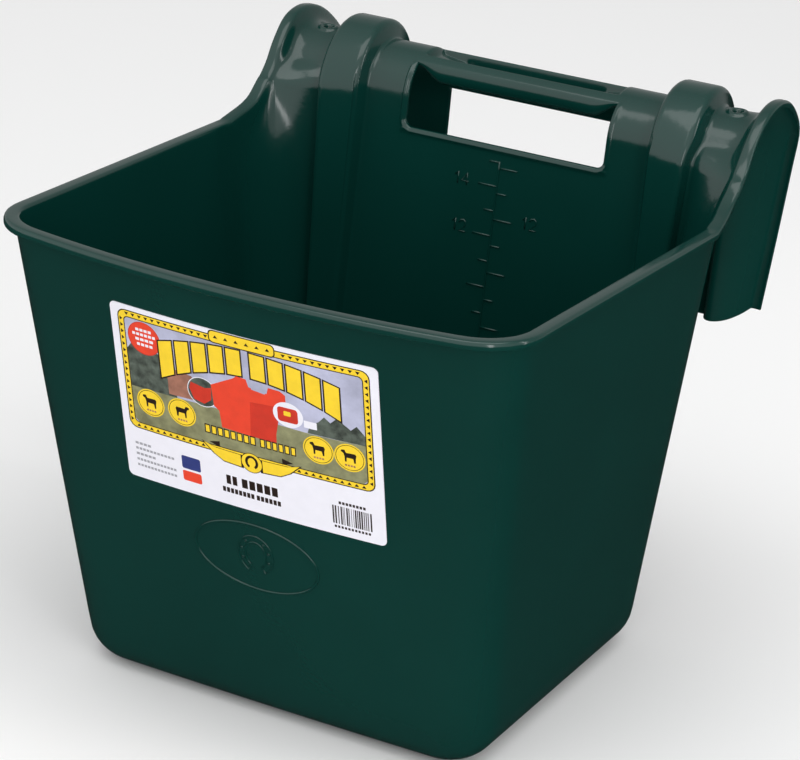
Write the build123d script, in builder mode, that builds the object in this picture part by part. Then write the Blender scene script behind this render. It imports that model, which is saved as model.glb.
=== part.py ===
from build123d import *

import os
from math import cos, radians, sin, sqrt

# Hook-over feed bucket: one thin moulding modelled as named regions that meet
# face to face, and the printed label stuck on its front.
# Millimetres. Origin: centre of the resting face. +Z up, front is -Y,
# the hook hangs over a board behind the tub at +Y.

# ---- driving dimensions ----
WALL = 3.0                 # moulding thickness
RIM_Z = 248.0              # top of the rim
FLOOR_Z = 26.0             # height where the rounded floor pan ends
EDGE_R = 24.0              # outside radius between floor and walls

BASE_FRONT_Y = -104.0      # wall planes carried down to the resting plane
BASE_BACK_Y = 107.0
BASE_FRONT_HALF = 113.5
BASE_BACK_HALF = 116.5
BASE_FRONT_R = 27.0
BASE_BACK_R = 27.0
BASE_BOW = 0.6

TOP_FRONT_Y = -165.0       # the same at the rim
TOP_BACK_Y = 117.0
TOP_FRONT_HALF = 134.0
TOP_BACK_HALF = 142.0
TOP_FRONT_R = 30.0
TOP_BACK_R = 54.0
TOP_BOW = 16.5             # how far the front wall bows out at the rim

LIP_OUT = 5.0              # rim flange, outward and down
LIP_DROP = 4.5
LIP_R = 2.0

CHANNEL = 46.0             # inside width of the hook, for a two-by board
SADDLE_R = CHANNEL / 2 + WALL
AXIS_Y = TOP_BACK_Y + CHANNEL / 2
AXIS_Z = 264.5
LEG_Z = 166.0              # lower end of the rear legs
LEG_INNER_X = 56.5         # edge of each rear leg beside the open middle

HOLE_Z = 250.0             # lower edge of the hand hole
HOLE_HALF = 59.5           # hand hole
HOLE_TOP_ANGLE = 54.0      # where the grip starts, measured up from the front
RIB_X0 = 84.0              # hoop ribs
RIB_X1 = 110.5
RIB_RAISE = 10.0
RIB_RAISE_FLOOR = 3.0
RIB_SLOPE = 2.5
FLARE_X = 134.0            # where the end flare meets its flanged edge
EDGE_X = 141.0             # outer face of the flanged edge
SCREW_X = 121.5
SCREW_Y = AXIS_Y - 3.0
SCREW_D = 5.0
BOSS_D = 13.0

LABEL_SIZE = (140.0, 101.0)
LABEL_X = 3.4              # the sticker sits a little off centre
LABEL_Z = 174.5            # height of the label's centre
LABEL_T = 0.4
EMBLEM_SIZE = (68.5, 40.5)
EMBLEM_X = 2.4
EMBLEM_Z = 99.5
EMBLEM_LINE = 1.6
EMBOSS = 0.8

FRONT_LEAN = (TOP_FRONT_Y - BASE_FRONT_Y) / RIM_Z

os.makedirs("parts", exist_ok=True)


def blend(low, high, z):
    """A dimension at height z, between its value at the floor and at the rim."""
    return low + (high - low) * z / RIM_Z


def outline(z, grow=0.0):
    """The tub's outer outline at height z, grown outward by grow."""
    front_y = blend(BASE_FRONT_Y, TOP_FRONT_Y, z) - grow
    back_y = blend(BASE_BACK_Y, TOP_BACK_Y, z) + grow
    front_half = blend(BASE_FRONT_HALF, TOP_FRONT_HALF, z) + grow
    back_half = blend(BASE_BACK_HALF, TOP_BACK_HALF, z) + grow
    bow = blend(BASE_BOW, TOP_BOW, z)
    with BuildSketch(Plane.XY.offset(z)) as shape:
        with BuildLine():
            ThreePointArc((-front_half, front_y), (0, front_y - bow), (front_half, front_y))
            Line((front_half, front_y), (back_half, back_y))
            Line((back_half, back_y), (-back_half, back_y))
            Line((-back_half, back_y), (-front_half, front_y))
        make_face()
        fillet(shape.vertices().group_by(Axis.Y)[0], radius=blend(BASE_FRONT_R, TOP_FRONT_R, z) + grow)
        fillet(shape.vertices().group_by(Axis.Y)[-1], radius=blend(BASE_BACK_R, TOP_BACK_R, z) + grow)
    return shape.sketch


def front_wedge(low_half, high_half):
    """The plan area that cuts the front wall out of the tub."""
    with BuildSketch() as wedge:
        with BuildLine():
            Polyline((-low_half, -95), (low_half, -95), (high_half, -205), (-high_half, -205), close=True)
        make_face()
    return wedge.sketch


def mirrored(part):
    """The same region on the other side of the bucket."""
    return mirror(part, about=Plane.YZ)


def finish(part, name):
    """Name a finished region and write it."""
    part.label = name
    export_step(part, f"parts/{name}.step")


# ---- the tub ----
with BuildPart() as tub_block:
    loft([outline(0), outline(RIM_Z)], ruled=True)
    fillet(tub_block.faces().sort_by(Axis.Z)[0].edges(), radius=EDGE_R)

with BuildPart() as cavity:
    loft([outline(WALL, -WALL), outline(RIM_Z, -WALL)], ruled=True)
    fillet(cavity.faces().sort_by(Axis.Z)[0].edges(), radius=EDGE_R - WALL)

with BuildPart() as shell:
    add(tub_block.part)
    add(cavity.part, mode=Mode.SUBTRACT)

with BuildPart() as tub_floor:
    add(shell.part)
    split(bisect_by=Plane.XY.offset(FLOOR_Z), keep=Keep.BOTTOM)
finish(tub_floor.part, "tub_floor")

with BuildPart() as walls:
    add(shell.part)
    split(bisect_by=Plane.XY.offset(FLOOR_Z), keep=Keep.TOP)

with BuildPart() as wall_front:
    add(walls.part)
    extrude(front_wedge(109, 135), amount=RIM_Z, mode=Mode.INTERSECT)
finish(wall_front.part, "wall_front")

with BuildPart() as wall_back:
    add(walls.part)
    with BuildSketch():
        with Locations((0, BASE_BACK_Y)):
            Rectangle(2 * RIB_X0, 60)
    extrude(amount=RIM_Z, mode=Mode.INTERSECT)
    with BuildSketch(Plane.XY.offset(RIM_Z)):
        with Locations((0, TOP_BACK_Y - WALL / 2)):
            Rectangle(2 * RIB_X0, WALL)
    extrude(amount=HOLE_Z - RIM_Z)
finish(wall_back.part, "wall_back")

with BuildPart() as wall_right:
    add(walls.part)
    split(bisect_by=Plane.YZ, keep=Keep.TOP)
    extrude(front_wedge(109, 135), amount=RIM_Z, mode=Mode.SUBTRACT)
    with BuildSketch():
        with Locations((0, BASE_BACK_Y)):
            Rectangle(2 * RIB_X1, 60)
    extrude(amount=RIM_Z, mode=Mode.SUBTRACT)
finish(wall_right.part, "wall_right")
finish(mirrored(wall_right.part), "wall_left")

# ---- the rim flange, outside the walls ----
with BuildPart() as lip:
    loft([outline(RIM_Z - LIP_DROP, LIP_OUT), outline(RIM_Z, LIP_OUT)], ruled=True)
    fillet(lip.faces().sort_by(Axis.Z)[-1].edges(), radius=LIP_R)
    add(tub_block.part, mode=Mode.SUBTRACT)
    with BuildSketch(Plane.XY.offset(RIM_Z - 2 * LIP_DROP)):
        with Locations((0, 63 + 100)):
            Rectangle(400, 200)
    extrude(amount=3 * LIP_DROP, mode=Mode.SUBTRACT)

with BuildPart() as rim_front:
    add(lip.part)
    extrude(front_wedge(109, 136), amount=RIM_Z, mode=Mode.INTERSECT)
finish(rim_front.part, "rim_front")

with BuildPart() as rim_right:
    add(lip.part)
    split(bisect_by=Plane.YZ, keep=Keep.TOP)
    extrude(front_wedge(109, 136), amount=RIM_Z, mode=Mode.SUBTRACT)
finish(rim_right.part, "rim_right")
finish(mirrored(rim_right.part), "rim_left")

# ---- hook: inner straps between the hand hole and the ribs ----
with BuildPart() as strap_right:
    with BuildSketch(Plane.YZ.offset(HOLE_HALF)):
        with BuildLine():
            Line((AXIS_Y - SADDLE_R, HOLE_Z), (AXIS_Y - SADDLE_R, AXIS_Z))
            ThreePointArc(
                (AXIS_Y - SADDLE_R, AXIS_Z), (AXIS_Y, AXIS_Z + SADDLE_R), (AXIS_Y + SADDLE_R, AXIS_Z)
            )
            Line((AXIS_Y + SADDLE_R, AXIS_Z), (AXIS_Y + SADDLE_R, LEG_Z))
            Line((AXIS_Y + SADDLE_R, LEG_Z), (AXIS_Y + CHANNEL / 2, LEG_Z))
            Line((AXIS_Y + CHANNEL / 2, LEG_Z), (AXIS_Y + CHANNEL / 2, AXIS_Z))
            ThreePointArc(
                (AXIS_Y + CHANNEL / 2, AXIS_Z), (AXIS_Y, AXIS_Z + CHANNEL / 2), (AXIS_Y - CHANNEL / 2, AXIS_Z)
            )
            Line((AXIS_Y - CHANNEL / 2, AXIS_Z), (AXIS_Y - CHANNEL / 2, HOLE_Z))
            Line((AXIS_Y - CHANNEL / 2, HOLE_Z), (AXIS_Y - SADDLE_R, HOLE_Z))
        make_face()
    extrude(amount=RIB_X0 - HOLE_HALF)
    with BuildSketch(Plane.XY.offset(LEG_Z)):
        with Locations(((LEG_INNER_X + HOLE_HALF) / 2, AXIS_Y + CHANNEL / 2 + WALL / 2)):
            Rectangle(HOLE_HALF - LEG_INNER_X, WALL)
    extrude(amount=AXIS_Z - LEG_Z)
finish(strap_right.part, "hook_strap_right")
finish(mirrored(strap_right.part), "hook_strap_left")


# ---- hook: hollow hoop ribs, and the bands they run into inside the tub ----
def hat(face_y, toward, raise_by, edge_shift=0.0):
    """Points of a hollow rib's section, raised from face_y in the direction toward."""
    skin = -toward * WALL
    top = toward * raise_by
    return [
        (RIB_X0, face_y + skin),
        (RIB_X0, face_y),
        (RIB_X0 + RIB_SLOPE, face_y + top),
        (RIB_X1 - RIB_SLOPE, face_y + top + edge_shift),
        (RIB_X1, face_y + edge_shift),
        (RIB_X1, face_y + edge_shift + skin),
        (RIB_X1 - WALL, face_y + edge_shift + skin),
        (RIB_X1 - WALL - RIB_SLOPE, face_y + top + edge_shift + skin),
        (RIB_X0 + WALL + RIB_SLOPE, face_y + top + skin),
        (RIB_X0 + WALL, face_y + skin),
    ]


with BuildPart() as rib_right:
    with BuildSketch(Plane.XY.offset(AXIS_Z)) as hoop_section:
        with BuildLine():
            Polyline(*hat(AXIS_Y - SADDLE_R, -1, RIB_RAISE), close=True)
        make_face()
    revolve(axis=Axis((0, AXIS_Y, AXIS_Z), (1, 0, 0)), revolution_arc=-180)
    with BuildSketch(Plane.XY.offset(AXIS_Z)):
        with BuildLine():
            Polyline(*hat(AXIS_Y - SADDLE_R, -1, RIB_RAISE), close=True)
        make_face()
    extrude(amount=RIM_Z - AXIS_Z)
    with BuildSketch(Plane.XY.offset(AXIS_Z)):
        with BuildLine():
            Polyline(*hat(AXIS_Y + SADDLE_R, 1, RIB_RAISE), close=True)
        make_face()
    extrude(amount=LEG_Z - AXIS_Z)
finish(rib_right.part, "hoop_rib_right")
finish(mirrored(rib_right.part), "hoop_rib_left")


def corner_shift(x, z):
    """How far the rounded back corner stands forward of the back wall at x."""
    radius = blend(BASE_BACK_R, TOP_BACK_R, z)
    start = blend(BASE_BACK_HALF, TOP_BACK_HALF, z) - radius
    return 0.0 if x <= start else radius - sqrt(radius**2 - (x - start) ** 2)


with BuildPart() as band_right:
    for z, raise_by in ((FLOOR_Z, RIB_RAISE_FLOOR), (RIM_Z, RIB_RAISE)):
        with BuildSketch(Plane.XY.offset(z)):
            with BuildLine():
                face = blend(BASE_BACK_Y, TOP_BACK_Y, z) - WALL
                Polyline(*hat(face, -1, raise_by, -corner_shift(RIB_X1, z)), close=True)
            make_face()
    loft(ruled=True)
finish(band_right.part, "rib_band_right")
finish(mirrored(band_right.part), "rib_band_left")

# ---- hook: flared ends, leaning inward with the side walls ----
LEAN = 3.15                 # degrees, reached at the flanged edge
FLARE_RAISE = (
    (0, 18.0), (15, 12.4), (36, 9.8), (60, 9.4), (90, 9.0), (120, 10.2), (145, 13.8), (165, 19.5), (180, 24.0)
)
EDGE_RAISE = (
    (0, 18.5), (15, 12.9), (36, 10.2), (60, 9.8), (90, 9.5), (120, 11.0), (145, 14.8), (165, 21.0), (180, 26.0)
)
FLARE_FOOT = (23.5, 2.0)    # at the leg's lower end: raise, and rise of the lower edge
EDGE_FOOT = (26.0, 6.0)
FLARE_STATIONS = (          # x, growth of the front, of the top and of the rear
    (RIB_X1, 0.0, 0.0, 0.0),
    (116.0, 0.12, 0.0, 0.12),
    (122.0, 0.34, 0.0, 0.36),
    (128.0, 0.65, 0.25, 0.68),
    (FLARE_X, 1.0, 1.0, 1.0),
)


def station(x):
    """Plane across the hook at x, leaning further the nearer it is to the flanged edge."""
    lean = radians(LEAN * (x - RIB_X1) / (FLARE_X - RIB_X1))
    return Plane(origin=(x, 0, AXIS_Z), x_dir=(0, 1, 0), z_dir=(cos(lean), 0, -sin(lean)))


def hook_curve(raises, foot, front, top, rear, front_foot, inset):
    """Points over the hook at one station, inset by a thickness; heights from the axis."""
    points = [(AXIS_Y - SADDLE_R - front_foot + inset, RIM_Z - AXIS_Z)]
    for angle, raise_by in raises:
        side = front if angle < 90 else rear
        share = abs(cos(radians(angle))) ** 0.5
        reach = SADDLE_R - inset + raise_by * (share * side + (1 - share) * top)
        points.append((AXIS_Y - reach * cos(radians(angle)), reach * sin(radians(angle))))
    points.append((AXIS_Y + SADDLE_R - inset + foot[0] * rear, LEG_Z + foot[1] * rear - AXIS_Z))
    return points


with BuildPart() as flare_right:
    for x, front, top, rear in FLARE_STATIONS:
        foot_shift = corner_shift(x, RIM_Z)
        with BuildSketch(station(x)):
            with BuildLine():
                outer = hook_curve(FLARE_RAISE, FLARE_FOOT, front, top, rear, foot_shift, 0)
                inner = hook_curve(FLARE_RAISE, FLARE_FOOT, front, top, rear, foot_shift, WALL)
                Polyline(*outer, *reversed(inner), close=True)
            make_face()
    loft(ruled=True)
    with Locations((SCREW_X, SCREW_Y, AXIS_Z + SADDLE_R)):
        Cylinder(SCREW_D / 2, 20, mode=Mode.SUBTRACT)
finish(flare_right.part, "end_flare_right")
finish(mirrored(flare_right.part), "end_flare_left")

EDGE_FRONT = ((63.0, RIM_Z), (76.0, 250.3), (87.3, 255.6), (92.0, 259.9))
EDGE_FRONT_UNDER = ((63.0, RIM_Z - WALL), (77.5, 247.2), (89.5, 253.0), (94.7, 258.0))


def edge_face(raises, foot, inset, front):
    """Points of the flanged edge from the side rim, over the hook, to the leg's foot."""
    points = [(y, z - AXIS_Z) for y, z in front]
    curve = hook_curve(raises, foot, 1, 1, 1, 0, inset)
    return points + curve[1:]


with BuildPart() as edge_right:
    for offset_x, raises, foot in ((0, FLARE_RAISE, FLARE_FOOT), (EDGE_X - FLARE_X, EDGE_RAISE, EDGE_FOOT)):
        with BuildSketch(station(FLARE_X).offset(offset_x)):
            with BuildLine():
                outer = edge_face(raises, foot, 0, EDGE_FRONT)
                inner = edge_face(raises, foot, WALL, EDGE_FRONT_UNDER)
                Polyline(*outer, *reversed(inner), close=True)
            make_face()
    loft(ruled=True)
    add(walls.part, mode=Mode.SUBTRACT)
finish(edge_right.part, "flare_edge_right")
finish(mirrored(edge_right.part), "flare_edge_left")

# ---- hook: raised rings around the two screw holes ----
with BuildPart() as boss_right:
    with Locations((SCREW_X, SCREW_Y, AXIS_Z + SADDLE_R)):
        Cylinder(BOSS_D / 2, 2.4)
        Cylinder(SCREW_D / 2, 20, mode=Mode.SUBTRACT)
    add(flare_right.part, mode=Mode.SUBTRACT)
    with BuildSketch(Plane.XY.offset(AXIS_Z)):
        with Locations((SCREW_X, SCREW_Y)):
            Circle(BOSS_D)
    extrude(amount=SADDLE_R - WALL, mode=Mode.SUBTRACT)
boss = boss_right.part.solids().sort_by(Axis.Z)[-1]
finish(Part(boss.wrapped), "screw_boss_right")
finish(mirrored(Part(boss.wrapped)), "screw_boss_left")

# ---- grip: rounded front, finger trough on top, rear skirt ----
GRIP_UNDER_Z = 275.5
TROUGH_Z = 278.5
TROUGH_Y0 = 130.5
TROUGH_Y1 = 152.0
TROUGH_HALF = 57.0
hole_top = (
    AXIS_Y - SADDLE_R * cos(radians(HOLE_TOP_ANGLE)),
    AXIS_Z + SADDLE_R * sin(radians(HOLE_TOP_ANGLE)),
)

with BuildPart() as grip:
    with BuildSketch(Plane.YZ.offset(-HOLE_HALF)):
        with BuildLine():
            ThreePointArc(
                hole_top,
                (AXIS_Y - SADDLE_R * cos(radians(115)), AXIS_Z + SADDLE_R * sin(radians(115))),
                (AXIS_Y + SADDLE_R, AXIS_Z),
            )
            Polyline(
                (AXIS_Y + SADDLE_R, AXIS_Z),
                (AXIS_Y + CHANNEL / 2, AXIS_Z),
                (AXIS_Y + CHANNEL / 2 - 3, GRIP_UNDER_Z),
                (hole_top[0] + 3, GRIP_UNDER_Z),
            )
            ThreePointArc(
                (hole_top[0] + 3, GRIP_UNDER_Z), (hole_top[0] - 1, GRIP_UNDER_Z + 4.5), hole_top
            )
        make_face()
    extrude(amount=2 * HOLE_HALF)
    with BuildSketch(Plane.YZ.offset(-TROUGH_HALF)):
        with BuildLine():
            Polyline(
                (TROUGH_Y0, 300),
                (TROUGH_Y1, 300),
                (TROUGH_Y1, 285),
                (TROUGH_Y1 + 7, TROUGH_Z),
                (TROUGH_Y0, TROUGH_Z),
                close=True,
            )
        make_face()
    extrude(amount=2 * TROUGH_HALF, mode=Mode.SUBTRACT)
finish(grip.part, "carry_grip")

# ---- raised bead around the lower part of the hand hole ----
BEAD = 2.0
with BuildPart() as bead:
    with BuildSketch(Plane.XZ.offset(-(AXIS_Y - SADDLE_R))):
        with BuildLine():
            Polyline(
                (-HOLE_HALF - BEAD, AXIS_Z),
                (-HOLE_HALF - BEAD, HOLE_Z - BEAD),
                (HOLE_HALF + BEAD, HOLE_Z - BEAD),
                (HOLE_HALF + BEAD, AXIS_Z),
                (HOLE_HALF, AXIS_Z),
                (HOLE_HALF, HOLE_Z),
                (-HOLE_HALF, HOLE_Z),
                (-HOLE_HALF, AXIS_Z),
                close=True,
            )
        make_face()
    extrude(amount=1.2)
    add(wall_back.part, mode=Mode.SUBTRACT)
finish(bead.part, "hand_hole_bead")

# ---- moulded capacity scale on the inside of the back wall ----
SCALE_LINE = 1.0
SCALE_BOTTOM = 96.0
QUART_TOP = 242.5           # highest mark, then the first step and its growth downward
QUART_STEP = 13.2
LITRE_TOP = 239.5
LITRE_STEP = 14.0
STEP_GROWTH = 0.16
SCALE_COUNT = 9
LONG_MARK = 11.0
SHORT_MARK = 6.0

with BuildPart() as scale:
    with BuildSketch(Plane.XZ.offset(-BASE_BACK_Y - 8)):
        with Locations((0, (QUART_TOP + SCALE_BOTTOM) / 2)):
            Rectangle(SCALE_LINE, QUART_TOP - SCALE_BOTTOM)
        for count in range(SCALE_COUNT):
            drop = STEP_GROWTH * count**2
            quart_reach = LONG_MARK if count % 2 else SHORT_MARK
            litre_reach = SHORT_MARK if count % 2 else LONG_MARK
            with Locations((-quart_reach / 2, QUART_TOP - QUART_STEP * count - drop)):
                Rectangle(quart_reach, SCALE_LINE)
            with Locations((litre_reach / 2, LITRE_TOP - LITRE_STEP * count - drop)):
                Rectangle(litre_reach, SCALE_LINE)
    extrude(amount=30)
with BuildPart() as scale_skin:
    loft([outline(FLOOR_Z, -WALL), outline(RIM_Z, -WALL)], ruled=True)
with BuildPart() as scale_core:
    loft([outline(FLOOR_Z, -WALL - 0.6), outline(RIM_Z, -WALL - 0.6)], ruled=True)
with BuildPart() as scale_marks:
    add(scale.part)
    add(scale_skin.part, mode=Mode.INTERSECT)
    add(scale_core.part, mode=Mode.SUBTRACT)
finish(scale_marks.part, "scale_marks")

# ---- front wall: the printed label and the moulded oval ----
def front_plane(height):
    """Plane on the front wall at a height, its normal pointing out of the bucket."""
    center = blend(BASE_FRONT_Y, TOP_FRONT_Y, height) - blend(BASE_BOW, TOP_BOW, height)
    slope = FRONT_LEAN - (TOP_BOW - BASE_BOW) / RIM_Z
    return Plane(origin=(0, center, height), x_dir=(1, 0, 0), z_dir=(0, -1, slope))


with BuildPart() as label_skin:
    loft([outline(FLOOR_Z, LABEL_T), outline(RIM_Z, LABEL_T)], ruled=True)
with BuildPart() as wall_block:
    loft([outline(FLOOR_Z), outline(RIM_Z)], ruled=True)
with BuildPart() as label:
    with BuildSketch(front_plane(LABEL_Z).offset(-20)):
        with Locations((LABEL_X, 0)):
            RectangleRounded(*LABEL_SIZE, radius=4)
    extrude(amount=30)
    add(label_skin.part, mode=Mode.INTERSECT)
    add(wall_block.part, mode=Mode.SUBTRACT)
finish(label.part, "label")

with BuildPart() as emblem_skin:
    loft([outline(FLOOR_Z, EMBOSS), outline(RIM_Z, EMBOSS)], ruled=True)
with BuildPart() as emblem:
    with BuildSketch(front_plane(EMBLEM_Z).offset(-10)):
        with Locations((EMBLEM_X, 0)):
            Ellipse(EMBLEM_SIZE[0] / 2, EMBLEM_SIZE[1] / 2)
            Ellipse(EMBLEM_SIZE[0] / 2 - EMBLEM_LINE, EMBLEM_SIZE[1] / 2 - EMBLEM_LINE, mode=Mode.SUBTRACT)
    extrude(amount=20)
    add(emblem_skin.part, mode=Mode.INTERSECT)
    add(wall_block.part, mode=Mode.SUBTRACT)
finish(emblem.part, "oval_emblem")
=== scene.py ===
import bmesh
import bpy
import numpy as np
from mathutils import Matrix, Vector
from mathutils.geometry import delaunay_2d_cdt


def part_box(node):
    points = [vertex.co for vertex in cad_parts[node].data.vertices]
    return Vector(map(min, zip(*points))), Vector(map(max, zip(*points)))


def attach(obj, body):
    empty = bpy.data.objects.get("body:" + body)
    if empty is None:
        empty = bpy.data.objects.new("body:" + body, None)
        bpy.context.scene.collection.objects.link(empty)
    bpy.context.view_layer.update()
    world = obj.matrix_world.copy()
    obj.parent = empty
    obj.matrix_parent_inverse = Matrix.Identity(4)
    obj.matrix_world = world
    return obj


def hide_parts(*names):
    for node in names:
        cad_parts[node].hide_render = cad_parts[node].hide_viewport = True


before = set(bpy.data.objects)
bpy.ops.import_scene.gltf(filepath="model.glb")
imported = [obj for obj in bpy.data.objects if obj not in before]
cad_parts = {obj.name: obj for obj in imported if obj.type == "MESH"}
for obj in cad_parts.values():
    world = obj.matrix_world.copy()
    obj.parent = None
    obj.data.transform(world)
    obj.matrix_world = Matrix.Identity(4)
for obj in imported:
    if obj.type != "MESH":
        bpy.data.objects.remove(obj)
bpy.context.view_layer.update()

# Hook-over feed bucket. The moulding is one mesh: a grid over its upper and inner face, a second face
# one thickness behind it, and rounded edges between the two. The maths is in millimetres, and the meshes
# are in metres.
MM = 0.001


def box_mm(node):
    low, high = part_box(node)
    return np.array(low) / MM, np.array(high) / MM


# ---- dimensions, from the frame where a node states them ----
WALL = 3.0
INSET = WALL * 1.02                  # the wall's thickness measured level, because the walls lean
RIM_Z = box_mm("rim_front")[1][2]
STRAP_LOW, STRAP_HIGH = box_mm("hook_strap_right")
SADDLE_R = (STRAP_HIGH[1] - STRAP_LOW[1]) / 2
AXIS_Y = (STRAP_HIGH[1] + STRAP_LOW[1]) / 2
AXIS_Z = STRAP_HIGH[2] - SADDLE_R
LEG_Z = STRAP_LOW[2]
HOLE_HALF = box_mm("carry_grip")[1][0]
HOLE_Z = box_mm("wall_back")[1][2]
LEG_INNER_X = STRAP_LOW[0]
RIB_X0 = box_mm("hoop_rib_right")[0][0]
RIB_X1 = box_mm("hoop_rib_right")[1][0]
RIB_RAISE = box_mm("hoop_rib_right")[1][2] - AXIS_Z - SADDLE_R
SCREW = (box_mm("screw_boss_right")[0] + box_mm("screw_boss_right")[1]) / 2
HOLE_TOP = 54.0                      # degrees up the hook's arc
EDGE_R = 24.0                        # outside radius under the tub
# the tub's outline at the floor and near the rim: front and back lines, half widths, corner radii and the
# front's bow
BASE = dict(front=-104.0, back=107.0, front_half=113.5, back_half=116.5, front_r=27.0, back_r=27.0, bow=0.6)
TOP = dict(front=-165.0, back=117.0, front_half=134.0, back_half=142.0, front_r=30.0, back_r=54.0, bow=16.5)
TOP_Z = 248.0
CORNER_X = TOP["back_half"] - TOP["back_r"]
# the lip's profile on the hook's ends and on the rim: straight run, bend radius, reach, thickness at the tip
LIP_HOOK = (2.2, 3.0, 6.0, 3.4)
LIP_RIM = (4.5, 2.0, 7.4, 4.2)
LIP_END_R = 1.6
RIM_EDGE = 6.3                       # how far under the rim's top the wall ends and the lip begins
EDGE_PHI = 52.3                      # degrees round the back corner where the rim has climbed to the hook
GRIP_UNDER = 275.5
TROUGH_FLOOR = 278.5
TROUGH_HALF = 57.5
HOLE_R = 5.0                         # corner radius of the hand hole
BEAD = 0.9                           # height of the bead round the hand hole
LEG_CUT = 5.0                        # how much shorter the leg is at its outer edge


def smooth(t):
    t = np.clip(t, 0.0, 1.0)
    return t * t * (3 - 2 * t)


def at_height(key, z):
    return BASE[key] + (TOP[key] - BASE[key]) * z / TOP_Z


# ---- the tub's outer outline at a height: (x, y) and outward normal for each column ----
def outline_point(kind, value, z):
    """kind: back (value x), corner (degrees), side (0 to 1), fore (0 to 1), bow (1 to 0); right half."""
    front, back = at_height("front", z), at_height("back", z)
    half_f, half_b = at_height("front_half", z), at_height("back_half", z)
    r_f, r_b, bow = at_height("front_r", z), at_height("back_r", z), at_height("bow", z)
    side = np.array([half_b - half_f, back - front])
    side /= np.linalg.norm(side)
    side_n = np.array([side[1], -side[0]])
    # the back corner's centre is r_b from the back line and from the side line
    cy = back - r_b
    foot = np.array([half_f, front])
    cx = (foot[0] * side_n[0] + (foot[1] - cy) * side_n[1] - r_b) / side_n[0]
    back_c = np.array([cx, cy])
    side_turn = np.degrees(np.arctan2(side_n[0], side_n[1]))
    if kind == "back":
        return np.array([value, back]), np.array([0.0, 1.0])
    if kind == "corner":
        turn = np.radians(value * side_turn / 90.0)
        n = np.array([np.sin(turn), np.cos(turn)])
        return back_c + r_b * n, n
    # front corner: rolls between the side line and the bowed front
    arc_r = (half_f**2 + bow**2) / (2 * bow)
    arc_c = np.array([0.0, front - bow + arc_r])
    base_pt = foot - r_f * side_n
    to_c = base_pt - arc_c
    b = np.dot(side, to_c)
    c = np.dot(to_c, to_c) - (arc_r - r_f) ** 2
    front_c = base_pt + side * (-b + np.sqrt(max(b * b - c, 0.0)) * (-1 if to_c[1] < 0 else 1))
    alt = base_pt + side * (-b - np.sqrt(max(b * b - c, 0.0)))
    front_c = alt if abs(alt[1] - front) < abs(front_c[1] - front) else front_c
    front_n = front_c - arc_c
    front_n /= np.linalg.norm(front_n)
    if kind == "side":
        a, d = back_c + r_b * side_n, front_c + r_f * side_n
        return a + (d - a) * value, side_n
    start = np.arctan2(side_n[1], side_n[0])
    stop = np.arctan2(front_n[1], front_n[0])
    if kind == "fore":
        turn = start + (stop - start) * value
        n = np.array([np.cos(turn), np.sin(turn)])
        return front_c + r_f * n, n
    turn = -np.pi / 2 + (stop + np.pi / 2) * value
    n = np.array([np.cos(turn), np.sin(turn)])
    return arc_c + arc_r * n, n


def round_path(points, radii, steps):
    """A polyline with its inner corners rounded, as points."""
    out = [np.array(points[0], float)]
    for i in range(1, len(points) - 1):
        p, a, b = (np.array(q, float) for q in (points[i], points[i - 1], points[i + 1]))
        u, v = (a - p) / np.linalg.norm(a - p), (b - p) / np.linalg.norm(b - p)
        half = np.arccos(np.clip(np.dot(u, v), -1, 1)) / 2
        cut = radii[i - 1] / np.tan(half)
        centre = p + (u + v) / np.linalg.norm(u + v) * radii[i - 1] / np.sin(half)
        s, e = p + u * cut - centre, p + v * cut - centre
        for k in range(steps + 1):
            t = k / steps
            d = s * (1 - t) + e * t
            out.append(centre + d / np.linalg.norm(d) * radii[i - 1])
    out.append(np.array(points[-1], float))
    return out


# ---- columns: (kind, value, rib height) for the right half, from the back's centre to the front's ----
def corner_x(phi):
    """x at the hook's height, of a column at an angle round the back corner."""
    return CORNER_X + TOP["back_r"] * np.sin(np.radians(phi))


def corner_angle(x):
    return np.degrees(np.arcsin(min(1.0, (x - CORNER_X) / TOP["back_r"])))


def column_home(col):
    kind, value, _ = columns[col]
    return value if kind == "back" else corner_x(value)


rib_path = round_path(
    [(78.0, 0.0), (RIB_X0 - 0.6, 0.0), (RIB_X0 + 1.9, RIB_RAISE), (RIB_X1 - 1.9, RIB_RAISE),
     (RIB_X1 + 0.6, 0.0), (113.2, 0.0)],
    (2.2, 4.2, 4.2, 2.2), 6)
columns = [("back", x, 0.0) for x in (
    0.0, 6.0, 12.0, 18.0, 24.0, 30.0, 34.0, 37.0, 38.6, 39.4, 40.2, 41.0, 41.8, 42.6, 44.0, 46.0, 48.5,
    51.0, 53.0, 54.2, 55.0, 55.7, LEG_INNER_X, 57.2, 58.0, 58.8, HOLE_HALF, 60.0, 60.5, 61.0, 61.5, 62.1,
    63.0, 65.0, 68.0, 72.0, 75.5)]
for x, h in rib_path[:-1]:
    columns.append(("back", x, h) if x <= CORNER_X else ("corner", corner_angle(x), h))
FLARE_END = corner_x(EDGE_PHI)
flare_x = np.concatenate([np.arange(113.4, 125.0, 1.3), RIB_X1 + (FLARE_END - RIB_X1) * np.array(
    (0.74, 0.78, 0.82, 0.85, 0.88, 0.905, 0.925, 0.945, 0.96, 0.975, 0.9875, 1.0))])
columns += [("corner", corner_angle(x), 0.0) for x in flare_x]
HOOK_COLUMNS = len(columns)
for phi in (53.2, 54.3, 55.6, 57.2, 59.0, 61.0, 63.5, 66.5, 70.0, 74.0, 78.0, 82.0, 86.0, 90.0):
    columns.append(("corner", phi, 0.0))
columns += [("side", t, 0.0) for t in np.linspace(0, 1, 22)[1:-1]]
columns += [("fore", t, 0.0) for t in np.linspace(0, 1, 13)]
columns += [("bow", t, 0.0) for t in np.linspace(1, 0, 26)[1:]]
HALF = len(columns)
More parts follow.
